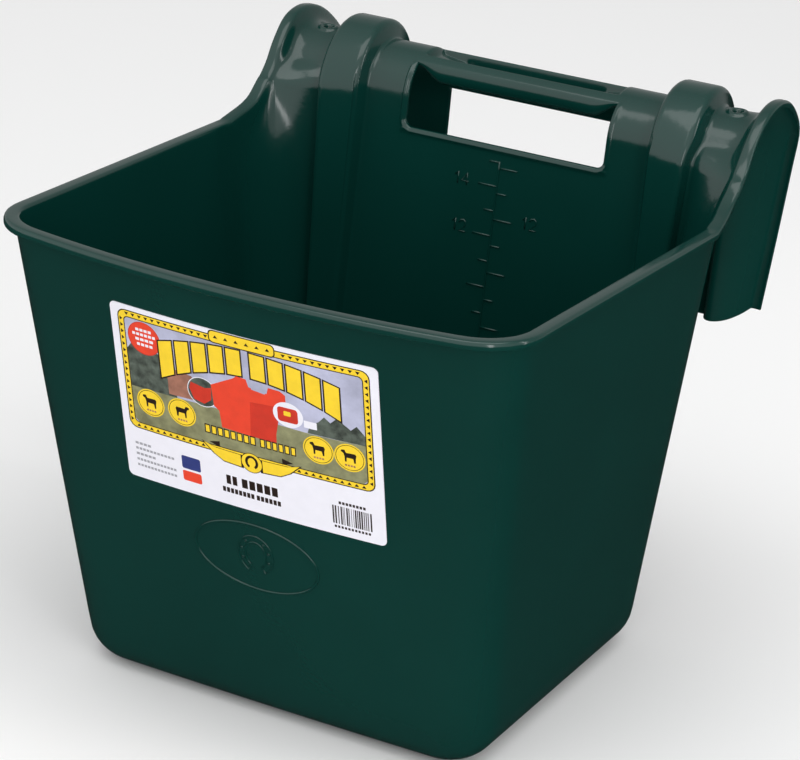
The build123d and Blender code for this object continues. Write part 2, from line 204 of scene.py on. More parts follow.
CORNER_END = [k for k in range(HALF) if columns[k][0] == "corner"][-1]
FLARE_T = [max(0.0, (column_home(k) - RIB_X1) / (FLARE_END - RIB_X1)) for k in range(HOOK_COLUMNS)]

# where the sheet folds into the lip, from the side rim up round the corner, over the hook and down the leg:
# x, y, height, and the fold's angle in degrees
FOLD = ((137.5, 58.0, 248.0, 82), (137.5, 63.0, 248.1, 81), (137.2, 70.0, 248.9, 79),
        (136.5, 76.0, 250.3, 76), (135.8, 82.0, 252.6, 72), (135.3, 87.3, 255.6, 68),
        (135.2, 91.6, 259.6, 65), (135.3, 95.4, 264.5, 63), (135.7, 103.1, 274.4, 64),
        (136.2, 111.2, 285.4, 67), (136.8, 122.2, 295.3, 69), (137.0, 136.9, 299.6, 69),
        (136.8, 152.8, 297.9, 69), (136.2, 171.4, 289.1, 69), (135.1, 186.0, 276.0, 69),
        (133.2, 191.9, 264.5, 69), (131.8, 193.5, 250.0, 69), (130.6, 193.8, 233.0, 69),
        (128.6, 193.0, 202.0, 69), (126.3, 191.2, 166.0, 69))


def spread(points, steps):
    """A smooth curve through points, as evenly spaced points: cubic pieces over the chord lengths."""
    q = np.array(points, float)
    u = np.concatenate([[0.0], np.cumsum(np.linalg.norm(np.diff(q[:, :3], axis=0), axis=1))])
    slope = np.gradient(q, u, axis=0)
    out = []
    for at in np.linspace(0, u[-1], steps):
        i = int(np.clip(np.searchsorted(u, at) - 1, 0, len(u) - 2))
        h = u[i + 1] - u[i]
        t = (at - u[i]) / h
        out.append((1 + 2 * t) * (1 - t) ** 2 * q[i] + t * (1 - t) ** 2 * h * slope[i]
                   + t * t * (3 - 2 * t) * q[i + 1] + t * t * (t - 1) * h * slope[i + 1])
    return np.array(out)


# the sheet's edge: the fold moved back along the sheet by the lip's straight run and bend
fold = spread(FOLD, 600)
fold_dir = np.gradient(fold[:, :3], axis=0)
fold_dir /= np.linalg.norm(fold_dir, axis=1)[:, None]
out_dir = np.array([1.0, 0, 0]) - fold_dir[:, :1] * fold_dir
out_dir /= np.linalg.norm(out_dir, axis=1)[:, None]
up_dir = np.cross(out_dir, fold_dir)
fold_angle = np.radians(fold[:, 3])
back_by = LIP_HOOK[0] + LIP_HOOK[1] * np.tan(fold_angle / 2)
towards_fold = out_dir * np.cos(fold_angle)[:, None] + up_dir * np.sin(fold_angle)[:, None]
edge_line = fold[:, :3] - towards_fold * back_by[:, None]
over_angle = np.degrees(np.unwrap(np.arctan2(edge_line[:, 2] - AXIS_Z, AXIS_Y - edge_line[:, 1])))
over_raise = np.hypot(edge_line[:, 2] - AXIS_Z, AXIS_Y - edge_line[:, 1]) - SADDLE_R
start_i = int(np.argmax(over_angle >= 0))
top_i = int(np.argmax(edge_line[:, 2]))
leg_i = top_i + int(np.argmax(edge_line[top_i:, 2] <= AXIS_Z))


def edge_over(theta):
    """Raise above the saddle, x and fold angle of the sheet's edge at an angle over the hook."""
    part = slice(start_i - 1, leg_i + 2)
    return [np.interp(theta, over_angle[part], v[part]) for v in (over_raise, edge_line[:, 0], fold_angle)]


def edge_down(z):
    """The same down the leg, by height."""
    part = slice(leg_i - 1, None)
    y = edge_line[part, 1] - AXIS_Y - SADDLE_R
    return [np.interp(-z, -edge_line[part, 2], v) for v in (y, edge_line[part, 0], fold_angle[part])]


rise_i = int(np.argmax(edge_line[:, 1] >= 66.0))
rise_line = edge_line[rise_i:start_i + 1]
rise_length = np.concatenate([[0.0], np.cumsum(np.linalg.norm(np.diff(rise_line, axis=0), axis=1))])
rise_length /= rise_length[-1]


def edge_rise(phi, rim_end):
    """The sheet's edge round the back corner: degrees from 90, at the side rim, to EDGE_PHI, at the hook."""
    share = (90.0 - phi) / (90.0 - EDGE_PHI)
    on_line = np.array([np.interp(share, rise_length, rise_line[:, k]) for k in range(3)])
    return rim_end + (on_line - rim_end) * smooth(share / 0.3)


def rise_power(edge):
    """Exponent that brings the flare to its edge at the fold's angle."""
    raise_by, x, angle = edge
    return np.clip(np.tan(angle) * (x - RIB_X1) / max(raise_by, 1.0), 1.8, 11.0)


# ---- tub rows ----
LOW_Z = 215.0
wall_z = [24.5, 29, 35, 42, 50, 60, 72, 86, 102, 120, 138, 156, 172, 186, 198, 208, LOW_Z]
top_z = [220, 226, 232, 237, 241, 244, 246, 247.4, 248.2, 248.8, 249.4, HOLE_Z, 250.7, 251.5, 252.5, 253.6,
         255.0, 257, 259.5, 262, AXIS_Z]
FLOOR_CENTRE = np.array([0.0, 2.0])
HOOK_BLEND = 30.0                    # degrees over which the tub's outline turns into the hook's


def tub_face(col, z):
    """The tub's inside face at a column and height; the rib fades out above the floor."""
    kind, value, rib = columns[col]
    p, n = outline_point(kind, value, z)
    raise_by = rib * (0.3 + 0.7 * z / RIM_Z) * smooth((z - 24) / 50.0)
    q = p - n * INSET - (np.array([0.0, raise_by]) if kind == "corner" else n * raise_by)
    return np.array([q[0], q[1], z])


def column_points(col):
    """The inside face of one tub column, from the floor's centre to its edge."""
    kind, value, _ = columns[col]
    top, n = outline_point(kind, value, 100.0)
    low, _ = outline_point(kind, value, 0.0)
    lean = np.arctan2(np.dot(top - low, n), 100.0)
    r_in = EDGE_R - WALL
    tz = WALL + r_in * (1 - np.sin(lean))
    t_pt = tub_face(col, tz)
    centre = np.array([t_pt[0], t_pt[1], tz]) - np.array([*(n * np.cos(lean)), -np.sin(lean)]) * r_in
    pts = []
    bottom = centre + np.array([0, 0, -r_in])
    for t in (0.0, 0.12, 0.25, 0.4, 0.55, 0.7, 0.82, 0.92):
        pts.append(np.array([*(FLOOR_CENTRE * (1 - t) + bottom[:2] * t), WALL]))
    for k in range(9):
        beta = np.pi / 2 + (lean - np.pi / 2) * k / 9
        pts.append(centre + r_in * np.array([*(n * np.cos(beta)), -np.sin(beta)]))
    for z in wall_z:
        pts.append(tub_face(col, max(z, tz + 0.5)))
    z_edge = RIM_Z - RIM_EDGE
    shift = np.zeros(3)
    if col < HOOK_COLUMNS:
        z_edge = AXIS_Z
        corner = np.array([edge_over(0)[1], AXIS_Y - SADDLE_R - edge_over(0)[0], AXIS_Z])
        shift = (corner - tub_face(HOOK_COLUMNS - 1, AXIS_Z)) * FLARE_T[col] ** 1.6
    elif kind == "corner":
        e = edge_rise(value, tub_face(CORNER_END, RIM_Z - RIM_EDGE))
        z_edge = e[2]
        shift = e - tub_face(col, z_edge)
    for z in top_z:
        t = (z - LOW_Z) / (AXIS_Z - LOW_Z)
        pts.append(tub_face(col, LOW_Z + (z_edge - LOW_Z) * t) + shift * t**2.2)
    return pts


# rows over the hook, in degrees from its front, and down the leg, as shares of its length
THETAS = [5, 10, 15, 20, 25, 30, 35, 40, 44, 48, 51, 53, HOLE_TOP, 56, 59, 62, 64.5, 66, 66.8, 67.5, 68.1,
          68.7, 69.3, 70, 71, 74, 79, 84, 90, 96, 102, 107, 111, 112.6, 113.4, 114.1, 114.8, 115.5, 116.3,
          117.2, 118.5, 121, 125, 130, 135, 140, 145, 150, 155, 160, 165, 170, 175, 180]
leg_t = [0.01, 0.03, 0.06, 0.12, 0.2, 0.3, 0.4, 0.5, 0.6, 0.7, 0.8, 0.88, 0.95, 0.985, 1.0]


def trough(x, theta, z):
    """How far the finger trough lowers the grip's top: a slanted scoop at each end, then a deep slot."""
    d = TROUGH_HALF - x
    if d <= 0:
        return 0.0
    across = smooth((theta - 66.4) / 3.6) * smooth((117.4 - theta) / 4.2)
    along = 0.36 * smooth(d / 3.0) + 0.2 * np.clip((d - 3.0) / 12.5, 0, 1) + 0.44 * smooth((d - 15.2) / 2.8)
    return (z - TROUGH_FLOOR) * across * along


def hook_face(home, rib, t, theta, base):
    """Face of the hook at a column and angle; base is the tub's last point in that column."""
    settle = smooth(theta / HOOK_BLEND)
    edge = edge_over(theta)
    flare = edge[0] * t ** rise_power(edge)
    first = edge_over(0)
    start = (AXIS_Y - SADDLE_R) - base[1] - rib
    reach = SADDLE_R + rib + flare + (start - first[0] * t ** rise_power(first)) * (1 - settle)
    a = np.radians(theta)
    y, z = AXIS_Y - reach * np.cos(a), AXIS_Z + reach * np.sin(a)
    x = base[0] * (1 - settle) + (home + (edge[1] - EDGE_HOME) * t) * settle
    return np.array([x, y, z - (trough(home, theta, z) if t == 0 and rib == 0 else 0.0)])


def leg_face(home, rib, t, down):
    """Face of the rear leg, from the axis height down to its lower end."""
    z = AXIS_Z + (LEG_Z + LEG_CUT * t**3 - AXIS_Z) * down
    edge = edge_down(z)
    x = home + (edge[1] - EDGE_HOME) * t
    return np.array([x, AXIS_Y + SADDLE_R + rib + edge[0] * t ** rise_power(edge), z])


EDGE_HOME = column_home(HOOK_COLUMNS - 1)


def round_hole(p):
    """Moves a point of the back wall so that the hand hole's lower corner is rounded."""
    du, dv = p[0] - HOLE_HALF, HOLE_Z - p[2]
    s, t = np.clip((du + HOLE_R) / HOLE_R, 0, 1), np.clip((dv + HOLE_R) / HOLE_R, 0, 1)
    if s <= 0 or t <= 0 or (du < -0.01 and dv < -0.01):
        return p
    a = np.radians(-90 + 45 * s if du < 0 else -45 * t)
    edge = np.array([min(du, 0.0), -min(dv, 0.0)])
    move = np.array([-HOLE_R + HOLE_R * np.cos(a), HOLE_R + HOLE_R * np.sin(a)]) - edge
    fade = smooth(1 - np.hypot(max(du, 0.0), max(dv, 0.0)) / 5.5)
    return p + np.array([move[0], 0.0, move[1]]) * fade


# ---- build the right half's face grid, then mirror ----
# info has, for each vertex, its place on the back face if that isn't one thickness behind, its relief over
# the face, and how far the sheet's edge bulges there
verts, quads, info = [], [], []
grid = {}


def put(key, p, under=None, relief=0.0, bulge=1.0):
    grid[key] = len(verts)
    verts.append(np.array(p, float))
    info.append((under, relief, bulge))


def bead(outside):
    """The bead's height at a distance outside the hand hole's edge."""
    return BEAD * np.exp(-(((outside - 1.3) / 0.8) ** 2))


for col in range(HALF):
    pts = column_points(col)
    kind, value, _ = columns[col]
    for row, p in enumerate(pts):
        relief = 0.0
        if kind == "back" and HOLE_HALF - 3 < value < 64.0 and p[2] > HOLE_Z - 2.0:
            relief = bead(value - HOLE_HALF)
        if kind == "back" and value < 61.5 and 246 < p[2] <= HOLE_Z:
            relief = max(relief, bead(HOLE_Z - p[2]))
        put(("T", col, row), round_hole(p) if kind == "back" else p, relief=relief)
tub_rows = len(pts)
for col in range(HOOK_COLUMNS):
    kind, value, rib = columns[col]
    base = verts[grid[("T", col, tub_rows - 1)]]
    thick_grip = kind == "back" and value < HOLE_HALF - 0.2
    home, t = column_home(col), FLARE_T[col]
    for row, theta in enumerate(THETAS):
        p = hook_face(home, rib, t, theta, base)
        under, bulge = None, 1.0
        if thick_grip and theta >= HOLE_TOP:
            a = np.radians(theta)
            r = SADDLE_R - WALL
            full = smooth((HOLE_HALF - value) / 15.0)
            z = AXIS_Z + r * np.sin(a)
            under = np.array([p[0], AXIS_Y - r * np.cos(a), z + (min(z, GRIP_UNDER) - z) * full])
            bulge = 1.0 + 1.9 * full if theta <= 150 else 1.0
        relief = 0.0
        if kind == "back" and HOLE_HALF - 0.2 < value < 64.0 and theta < HOLE_TOP + 2:
            relief = bead(value - HOLE_HALF) * smooth((HOLE_TOP - theta + 2) / 14)
        put(("H", col, row), p, under=under, relief=relief, bulge=bulge)
    for row, down in enumerate(leg_t):
        put(("H", col, len(THETAS) + row), leg_face(home, rib, t, down))
HOOK_ROWS = len(THETAS) + len(leg_t)
hole_top_row = THETAS.index(HOLE_TOP)
hole_low_row = tub_rows - len(top_z) + top_z.index(HOLE_Z)
skirt_row = THETAS.index(180)


def column_x(col):
    """x of a column in the flat of the back; any other column counts as far outside it."""
    return columns[col][1] if columns[col][0] == "back" else np.inf


for col in range(HALF - 1):
    outer_x = column_x(col + 1)
    for row in range(tub_rows - 1):
        if outer_x <= HOLE_HALF + 0.01 and row >= hole_low_row:
            continue
        quads.append(tuple(grid[("T", c, r)] for c, r in (
            (col, row), (col + 1, row), (col + 1, row + 1), (col, row + 1))))
for col in range(HOOK_COLUMNS - 1):
    outer_x = column_x(col + 1)
    for row in range(-1, HOOK_ROWS - 1):
        if outer_x <= HOLE_HALF + 0.01 and row < hole_top_row:
            continue
        if outer_x <= LEG_INNER_X + 0.01 and row >= skirt_row:
            continue
        low = [grid[("T", c, tub_rows - 1)] if row < 0 else grid[("H", c, row)] for c in (col, col + 1)]
        high = [grid[("H", c, row + 1)] for c in (col, col + 1)]
        quads.append((low[0], low[1], high[1], high[0]))

verts = np.array(verts)
SCREW_ANGLE = np.degrees(np.arccos((AXIS_Y - SCREW[1]) / SADDLE_R))


def drop_screw_block():
    """The quads without those under the screw ring, and the loop of vertices round the gap."""
    row_c = int(np.argmin([abs(a - SCREW_ANGLE) for a in THETAS]))
    cols = [c for c in range(HOOK_COLUMNS) if FLARE_T[c] > 0 and columns[c][2] == 0.0
            and abs(verts[grid[("H", c, row_c)]][0] - SCREW[0]) < 8.3]
    rows = [r for r, a in enumerate(THETAS) if abs(a - SCREW_ANGLE) < 19.0]
    c0, c1, r0, r1 = cols[0], cols[-1], rows[0], rows[-1]
    gone = set()
    for c in range(c0, c1):
        for r in range(r0, r1):
            gone.add(tuple(grid[("H", *k)] for k in ((c, r), (c + 1, r), (c + 1, r + 1), (c, r + 1))))
    kept = [q for q in quads if q not in gone]
    loop = [(c, r0) for c in range(c0, c1)] + [(c1, r) for r in range(r0, r1)]
    loop += [(c, r1) for c in range(c1, c0, -1)] + [(c0, r) for r in range(r1, r0, -1)]
    return kept, [grid[("H", c, r)] for c, r in loop]


quads, screw_loop = drop_screw_block()


def flare_at(x, theta):
    """The flare's face at any x and angle round the screw."""
    home = x
    for _ in range(6):
        t = (home - RIB_X1) / (EDGE_HOME - RIB_X1)
        p = hook_face(home, 0.0, t, theta, np.array([home, AXIS_Y - SADDLE_R, AXIS_Z]))
        home += x - p[0]
    return p


# the screw ring's section, from outside inwards: radius and height
RING = ((7.1, 0.0), (6.3, 0.0), (5.8, 0.35), (5.3, 0.85), (4.8, 1.15), (4.2, 1.25), (3.6, 1.15), (3.15, 0.8),
        (2.8, 0.2), (2.6, -0.6), (2.5, -1.4))
all_verts = list(verts)
previous = screw_loop
loop_angles = []
for k in screw_loop:
    p = verts[k]
    turn = np.arctan2(p[2] - AXIS_Z, AXIS_Y - p[1]) - np.radians(SCREW_ANGLE)
    loop_angles.append(np.arctan2(turn * SADDLE_R, p[0] - SCREW[0]))
for radius, relief in RING:
    ring = []
    for ang in loop_angles:
        ring.append(len(all_verts))
        theta = SCREW_ANGLE + np.degrees(radius * np.sin(ang) / SADDLE_R)
        all_verts.append(flare_at(SCREW[0] + radius * np.cos(ang), theta))
        info.append((None, relief, 0.3))
    for k in range(len(ring)):
        j = (k + 1) % len(ring)
        quads.append((previous[k], previous[j], ring[j], ring[k]))
    previous = ring
verts = np.array(all_verts)

# mirror to the left half, sharing the centre columns
on_centre = {i for i in range(len(verts)) if abs(verts[i][0]) < 1e-6}
mirror_of = {}
both = list(verts)
both_info = list(info)
for i, p in enumerate(verts):
    if i in on_centre:
        mirror_of[i] = i
    else:
        mirror_of[i] = len(both)
        both.append(p * np.array([-1, 1, 1]))
        under, relief, bulge = info[i]
        both_info.append((None if under is None else under * np.array([-1, 1, 1]), relief, bulge))
quads = quads + [tuple(mirror_of[k] for k in reversed(q)) for q in quads]
verts = np.array(both)
info = both_info

# the floor's centre: all first-row vertices are one
floor_ids = {grid[("T", c, 0)] for c in range(HALF)}
floor_ids |= {mirror_of[k] for k in floor_ids}
hub = min(floor_ids)
faces = []
for q in quads:
    f = []
    for k in q:
        k = hub if k in floor_ids else k
        if k not in f:
            f.append(k)
    if len(f) > 2:
        faces.append(tuple(f))


# ---- the lip, along the sheet's edge from one leg's foot round the rim to the other's ----
def vertex_normals(points, polys):
    n = np.zeros_like(points)
    for f in polys:
        p = points[list(f)]
        if len(f) == 4:
            fn = np.cross(p[2] - p[0], p[3] - p[1])
        else:
            fn = np.cross(p[1] - p[0], p[2] - p[0])
        for k in f:
            n[k] += fn
    size = np.linalg.norm(n, axis=1)
    size[size == 0] = 1
    return n / size[:, None]


edge_col = HOOK_COLUMNS - 1
path = [grid[("H", edge_col, r)] for r in range(HOOK_ROWS - 1, -1, -1)]
inner = [grid[("H", edge_col - 1, r)] for r in range(HOOK_ROWS - 1, -1, -1)]
D0 = [np.array([1.0, 0, 0])] * len(path)
for col in range(edge_col, HALF):
    path.append(grid[("T", col, tub_rows - 1)])
    inner.append(grid[("T", col, tub_rows - 2)])
    kind, value, _ = columns[max(col, CORNER_END)]
    _, n2 = outline_point(kind, value, RIM_Z)
    D0.append(np.array([n2[0], n2[1], 0.0]))
n_right = len(path)
for i in range(n_right - 2, -1, -1):
    path.append(mirror_of[path[i]])
    inner.append(mirror_of[inner[i]])
    D0.append(D0[i] * np.array([-1, 1, 1]))
# at each point P of the edge: D points outwards, E upwards, and alpha is the angle at which the sheet arrives
D0 = np.array(D0)
for _ in range(6):
    D0[1:-1] = (D0[:-2] + 2 * D0[1:-1] + D0[2:]) / 4
P = verts[path]
tangent = np.gradient(P, axis=0)
tangent /= np.linalg.norm(tangent, axis=1)[:, None]
D = D0 - (D0 * tangent).sum(1)[:, None] * tangent
D /= np.linalg.norm(D, axis=1)[:, None]
E = np.cross(D, tangent)
sheet_dir = P - verts[inner]
sheet_dir -= (sheet_dir * tangent).sum(1)[:, None] * tangent
sheet_dir /= np.linalg.norm(sheet_dir, axis=1)[:, None]
flip = np.sign((sheet_dir * E).sum(1))
E *= flip[:, None]
alpha = np.arctan2((sheet_dir * E).sum(1), (sheet_dir * D).sum(1))
alpha = np.clip(alpha, np.radians(20), np.radians(92))
for _ in range(4):
    alpha[1:-1] = (alpha[:-2] + 2 * alpha[1:-1] + alpha[2:]) / 4
rim_like = smooth((np.arange(n_right) - HOOK_ROWS + 4) / 18.0)
rim_like = np.concatenate([rim_like, rim_like[:-1][::-1]])
run, bend, reach, tip_thick = (a + (b - a) * rim_like for a, b in zip(LIP_HOOK, LIP_RIM))
turn_a, turn_b = np.cos(alpha), np.sin(alpha)
corner_run = run + bend * np.tan(alpha / 2)
fold_a = corner_run * turn_a
lip_rows = [(run * turn_a * k / 2, run * turn_b * k / 2) for k in (1, 2)]
a0, b0 = lip_rows[-1]
for k in range(1, 6):
    gamma = alpha * (1 - k / 5)
    lip_rows.append((a0 + bend * (turn_b - np.sin(gamma)), b0 + bend * (np.cos(gamma) - turn_a)))
a1, b1 = lip_rows[-1]
flat = fold_a + reach - LIP_END_R - a1
lip_rows += [(a1 + flat * k / 2, b1) for k in (1, 2)]
a1 = a1 + flat
for k in range(1, 4):
    gamma = np.radians(-25.0 * k)
    lip_rows.append((a1 - LIP_END_R * np.sin(gamma), b1 - LIP_END_R * (1 - np.cos(gamma))))
count = len(lip_rows)
wall_a, wall_b = WALL * turn_b, -WALL * turn_a
tip_a, tip_b = lip_rows[-1][0] - 0.5, b1 - tip_thick
knee_a = wall_a + np.clip(tip_b - wall_b, 0.2, 9.0) / np.tan(alpha)
all_verts = list(verts)
previous = path
for k, (a, b) in enumerate(lip_rows):
    f = (k + 1) / count
    under_a = (1 - f) ** 2 * wall_a + 2 * f * (1 - f) * knee_a + f * f * tip_a
    under_b = (1 - f) ** 2 * wall_b + (1 - (1 - f) ** 2) * tip_b
    row = []
    for i in range(len(path)):
        row.append(len(all_verts))
        all_verts.append(P[i] + D[i] * a[i] + E[i] * b[i])
        info.append((P[i] + D[i] * under_a[i] + E[i] * under_b[i], 0.0, 0.9))
    for i in range(len(path) - 1):
        faces.append((previous[i], previous[i + 1], row[i + 1], row[i]))
    previous = row
verts = np.array(all_verts)


# ---- the other face, and rounded edges between the two ----
def close_sheet(points, polys, info, steps=6):
    """A closed mesh from a face grid: the back face is a wall's thickness behind, or where info says."""
    used = sorted({k for f in polys for k in f})
    slot = {k: i for i, k in enumerate(used)}
    pts = points[used]
    polys = [tuple(slot[k] for k in f) for f in polys]
    extra = [info[k] for k in used]
    n = vertex_normals(pts, polys)
    front = pts + n * np.array([e[1] for e in extra])[:, None]
    back = pts - n * WALL
    for i, e in enumerate(extra):
        if e[0] is not None:
            back[i] = e[0]
    count = len(pts)
    out_v = list(front) + list(back)
    out_f = list(polys) + [tuple(k + count for k in reversed(f)) for f in polys]
    edges = {}
    for f in polys:
        for i in range(len(f)):
            a, b = f[i], f[(i + 1) % len(f)]
            edges[(a, b)] = True
    border = [(a, b) for a, b in edges if (b, a) not in edges]
    away = np.zeros_like(pts)
    for a, b in border:
        d = pts[b] - pts[a]
        o = np.cross(d, n[a] + n[b])
        o /= max(np.linalg.norm(o), 1e-9)
        away[a] += o
        away[b] += o
    mids = {}
    for k in {k for e in border for k in e}:
        o = away[k] - np.dot(away[k], n[k]) * n[k]
        o /= max(np.linalg.norm(o), 1e-9)
        a, b = front[k], back[k]
        ids = []
        for s in range(1, steps):
            ang = np.pi * s / steps
            w = (1 - np.cos(ang)) / 2
            ids.append(len(out_v))
            out_v.append(a * (1 - w) + b * w + o * extra[k][2] * np.sin(ang))
        mids[k] = [k, *ids, k + count]
    for a, b in border:
        for s in range(steps):
            out_f.append((mids[b][s], mids[a][s], mids[a][s + 1], mids[b][s + 1]))
    return np.array(out_v), out_f


def make_object(name, points, polys, materials, face_material=None, smooth_shade=True):
    mesh = bpy.data.meshes.new(name)
    mesh.from_pydata([tuple(p * MM) for p in points], [], polys)
    mesh.update()
    bm = bmesh.new()
    bm.from_mesh(mesh)
    if face_material is None:
        bmesh.ops.recalc_face_normals(bm, faces=bm.faces)
    bm.to_mesh(mesh)
    bm.free()
    for m in materials:
        mesh.materials.append(m)
    if face_material is not None:
        mesh.polygons.foreach_set("material_index", face_material)
    mesh.polygons.foreach_set("use_smooth", [smooth_shade] * len(mesh.polygons))
    ob = bpy.data.objects.new(name, mesh)
    bpy.context.scene.collection.objects.link(ob)
    return ob


# ---- materials ----
def new_material(name):
    m = bpy.data.materials.new(name)
    m.use_nodes = True
    nt = m.node_tree
    nt.nodes.clear()
    out = nt.nodes.new("ShaderNodeOutputMaterial")
    bsdf = nt.nodes.new("ShaderNodeBsdfPrincipled")
    nt.links.new(bsdf.outputs[0], out.inputs[0])
    return m, nt, bsdf


def node(nt, kind, **values):
    n = nt.nodes.new(kind)
    for k, v in values.items():
        if k in n.inputs:
            n.inputs[k].default_value = v
        else:
            setattr(n, k, v)
    return n


def noise(nt, **values):
    """A noise texture in the object's own metres."""
    n = node(nt, "ShaderNodeTexNoise", **values)
    coords = node(nt, "ShaderNodeTexCoord")
    nt.links.new(coords.outputs["Object"], n.inputs["Vector"])
    return n


def colour_from(nt, bsdf, source, stops):
    ramp = node(nt, "ShaderNodeValToRGB")
    for element, (position, colour) in zip(ramp.color_ramp.elements, stops):
        element.position = position
        element.color = (*colour, 1)
    nt.links.new(source.outputs[0], ramp.inputs[0])
    nt.links.new(ramp.outputs[0], bsdf.inputs["Base Color"])


def roughness_from(nt, bsdf, source, low, high):
    spread_out = node(nt, "ShaderNodeMapRange")
    spread_out.inputs["To Min"].default_value = low
    spread_out.inputs["To Max"].default_value = high
    nt.links.new(source.outputs[0], spread_out.inputs["Value"])
    nt.links.new(spread_out.outputs[0], bsdf.inputs["Roughness"])


def plastic(name, colour, deep, rough=0.13, wave=0.04):
    m, nt, bsdf = new_material(name)
    mottle = noise(nt, Scale=9.0, Detail=4.0, Roughness=0.55)
    colour_from(nt, bsdf, mottle, ((0.3, deep), (0.75, colour)))
    grain = noise(nt, Scale=420.0, Detail=3.0, Roughness=0.5)
    roughness_from(nt, bsdf, grain, rough - 0.05, rough + 0.07)
    sink = noise(nt, Scale=22.0, Detail=2.0)
    b1 = node(nt, "ShaderNodeBump", Strength=wave, Distance=0.004)
    b2 = node(nt, "ShaderNodeBump", Strength=0.12, Distance=0.0003)
    nt.links.new(sink.outputs[0], b1.inputs["Height"])
    nt.links.new(grain.outputs[0], b2.inputs["Height"])
    nt.links.new(b1.outputs[0], b2.inputs["Normal"])
    nt.links.new(b2.outputs[0], bsdf.inputs["Normal"])
    bsdf.inputs["IOR"].default_value = 1.5
    return m


green = plastic("moulded_green", (0.0022, 0.0355, 0.0285), (0.0017, 0.0295, 0.0235))

points, polys = close_sheet(verts, faces, info)
bucket = make_object("bucket_moulding", points, polys, [green])
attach(bucket, "root")
MOULDED = [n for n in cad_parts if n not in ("label", "oval_emblem", "scale_marks")]
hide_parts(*MOULDED)

# ---- raised lines: the oval on the front wall and the scale on the back wall ----
SLANT = 0.955                        # height gained per millimetre up the front wall


def front_face(x, z):
    front, half, bow = (at_height(k, z) for k in ("front", "front_half", "bow"))
    arc_r = (half**2 + bow**2) / (2 * bow)
    return front - bow + arc_r - np.sqrt(arc_r**2 - x * x)


def on_front(centre):
    """Places (across, up the wall, lift) on the outside of the front wall."""
    def place(u, v, lift):
        x, z = centre[0] + u, centre[1] + v * SLANT
        n = np.array([front_face(x + 0.5, z) - front_face(x - 0.5, z), -1.0,
                      front_face(x, z + 0.5) - front_face(x, z - 0.5)])
        return np.array([x, front_face(x, z), z]) + n / np.linalg.norm(n) * lift
    return place


def on_back(u, v, lift):
    """Places (across, height, lift) on the inside of the back wall."""
    return np.array([u, at_height("back", v) - INSET - lift, v])


def raised_line(place, path, width, height, closed=False):
    """A rounded bead along a path on a wall, as a closed mesh."""
    section = ((-0.5, -0.3), (-0.5, 0.1), (-0.36, 0.7), (-0.15, 1.0), (0.15, 1.0), (0.36, 0.7), (0.5, 0.1),
               (0.5, -0.3))
    path = np.array(path, float)
    if closed:
        along = np.roll(path, -1, axis=0) - np.roll(path, 1, axis=0)
    else:
        along = np.gradient(path, axis=0)
    along /= np.linalg.norm(along, axis=1)[:, None]
    pts = []
    for p, d in zip(path, along):
        for a, b in section:
            pts.append(place(p[0] - d[1] * a * width, p[1] + d[0] * a * width, b * height))
    k, n = len(section), len(path)
    polys = []
    for i in range(n if closed else n - 1):
        j = (i + 1) % n
        for a in range(k):
            b = (a + 1) % k
            polys.append((i * k + a, i * k + b, j * k + b, j * k + a))
    if not closed:
        polys += [tuple(range(k)), tuple(range(n * k - 1, n * k - k - 1, -1))]
    return pts, polys


def gather(parts):
    pts, polys = [], []
    for p, f in parts:
        polys += [tuple(k + len(pts) for k in face) for face in f]
        pts += p
    return np.array(pts), polys


def arc(cu, cv, a, b, start, stop, steps):
    t = np.radians(np.linspace(start, stop, steps))
    return np.stack([cu + a * np.cos(t), cv + b * np.sin(t)], axis=1)


low, high = box_mm("oval_emblem")
centre = ((low[0] + high[0]) / 2, (low[2] + high[2]) / 2)
half_u, half_v = (high[0] - low[0]) / 2 - 0.6, (high[2] - low[2]) / 2 / SLANT - 0.6
place = on_front(centre)
shoe = np.concatenate([arc(0, 1.5, 9.5, 11.5, -62, 242, 40), arc(0, 1.5, 5.6, 7.8, 240, -60, 34)])
lines = [raised_line(place, arc(0, 0, half_u, half_v, 0, 357.5, 144), 1.3, 0.7, True),
         raised_line(place, shoe, 0.9, 0.6, True)]
for t in (-20, 15, 50, 130, 165, 200):
    a = np.radians(t)
    u, v = 7.5 * np.cos(a), 1.5 + 9.6 * np.sin(a)
    lines.append(raised_line(place, arc(u, v, 0.55, 0.55, 0, 324, 10), 0.7, 0.6, True))
points, polys = gather(lines)
emblem = make_object("oval_emblem_line", points, polys, [green])

DIGITS = {"1": [((-0.15, 0.75), (0.1, 1.0), (0.1, 0.0))],
          "2": [((-0.3, 0.75), (-0.18, 0.95), (0.1, 1.0), (0.3, 0.8), (0.22, 0.5), (-0.3, 0.0), (0.34, 0.0))],
          "4": [((0.16, 0.0), (0.16, 1.0), (-0.34, 0.3), (0.36, 0.3))]}
MARK_COUNT, QUART_STEP, LITRE_STEP = 9, 13.2, 14.0
LITRE_DROP = 3.0                     # how far the first litre mark is under the first quart mark
MARK_GROWTH = 0.16
marks_low, marks_high = box_mm("scale_marks")
lines = [raised_line(on_back, [(0, z) for z in np.linspace(marks_low[2], marks_high[2], 30)], 1.0, 0.6)]
for k in range(MARK_COUNT):
    top = marks_high[2] - 0.5 - MARK_GROWTH * k * k
    left, right = (11.0, 6.0) if k % 2 else (6.0, 11.0)
    for reach, v in ((-left, top - QUART_STEP * k), (right, top - LITRE_DROP - LITRE_STEP * k)):
        lines.append(raised_line(on_back, [(reach * t, v) for t in (0, 0.5, 1)], 1.0, 0.6))
